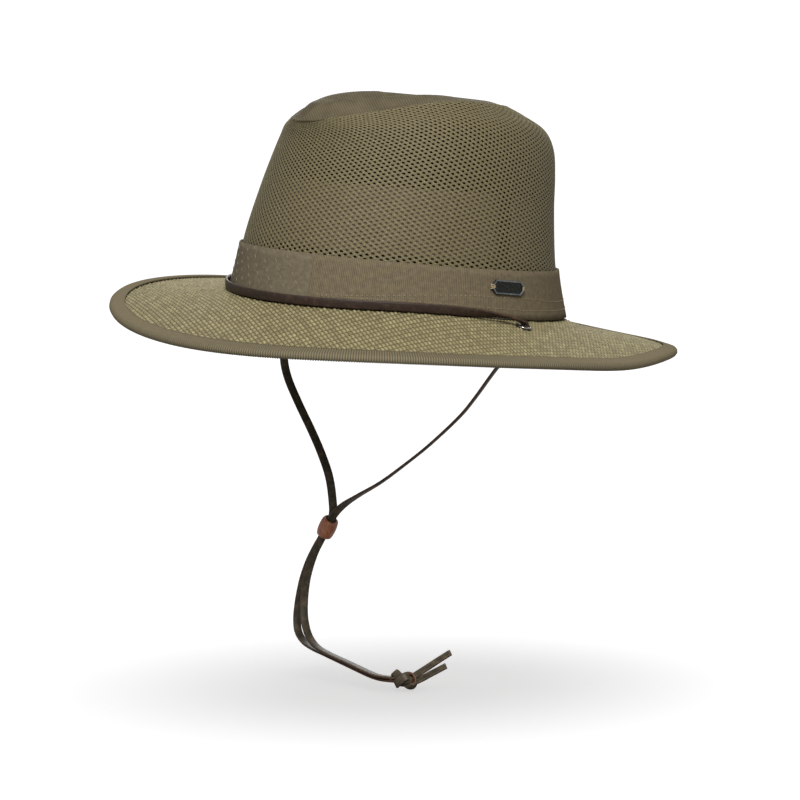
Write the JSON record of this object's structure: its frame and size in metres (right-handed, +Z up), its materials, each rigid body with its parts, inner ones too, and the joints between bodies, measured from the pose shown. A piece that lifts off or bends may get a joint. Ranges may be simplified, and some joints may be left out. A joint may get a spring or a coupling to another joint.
{
  "type": "safari fedora hat",
  "caption": "Soft wide-brimmed fedora with an open mesh crown, creased twill top, hat band, bound woven brim and a leather chin cord with a slider bead.",
  "frame": {"origin": "middle of the head opening, in the plane where the crown meets the brim", "axes": "+Z up through the crown, -Y to the front of the hat, +X to the wearer's left"},
  "size_m": [0.3057, 0.3392, 0.3344],
  "materials": {
    "crown_mesh": "open knitted mesh, olive khaki",
    "crown_twill": "plain twill, olive brown",
    "band_twill": "fine ribbed twill, brown khaki",
    "inner_strip": "plain stiff strip",
    "brim_weave": "coarse diagonal weave, light olive",
    "binding_ribbon": "grosgrain ribbon, ribbed across",
    "eyelet_steel": "bright rolled steel",
    "badge_metal": "dark gunmetal plate with a worn raised edge",
    "lace_leather": "waxed flat leather lace, dark brown",
    "bead_wood": "turned and oiled hardwood, red brown"
  },
  "bodies": {
    "root": {"crown_side": "crown_mesh", "crown_top": "crown_twill", "hat_band": "band_twill", "inner_band": "inner_strip", "brim": "brim_weave", "brim_binding": "binding_ribbon", "eyelet_left": "eyelet_steel", "eyelet_right": "eyelet_steel", "badge": "badge_metal", "cord_front": "lace_leather", "cord_left": "lace_leather", "cord_right": "lace_leather", "cord_tail_left": "lace_leather", "cord_tail_right": "lace_leather", "cord_knot": "lace_leather", "cord_bead": "bead_wood"}
  },
  "joints": []
}
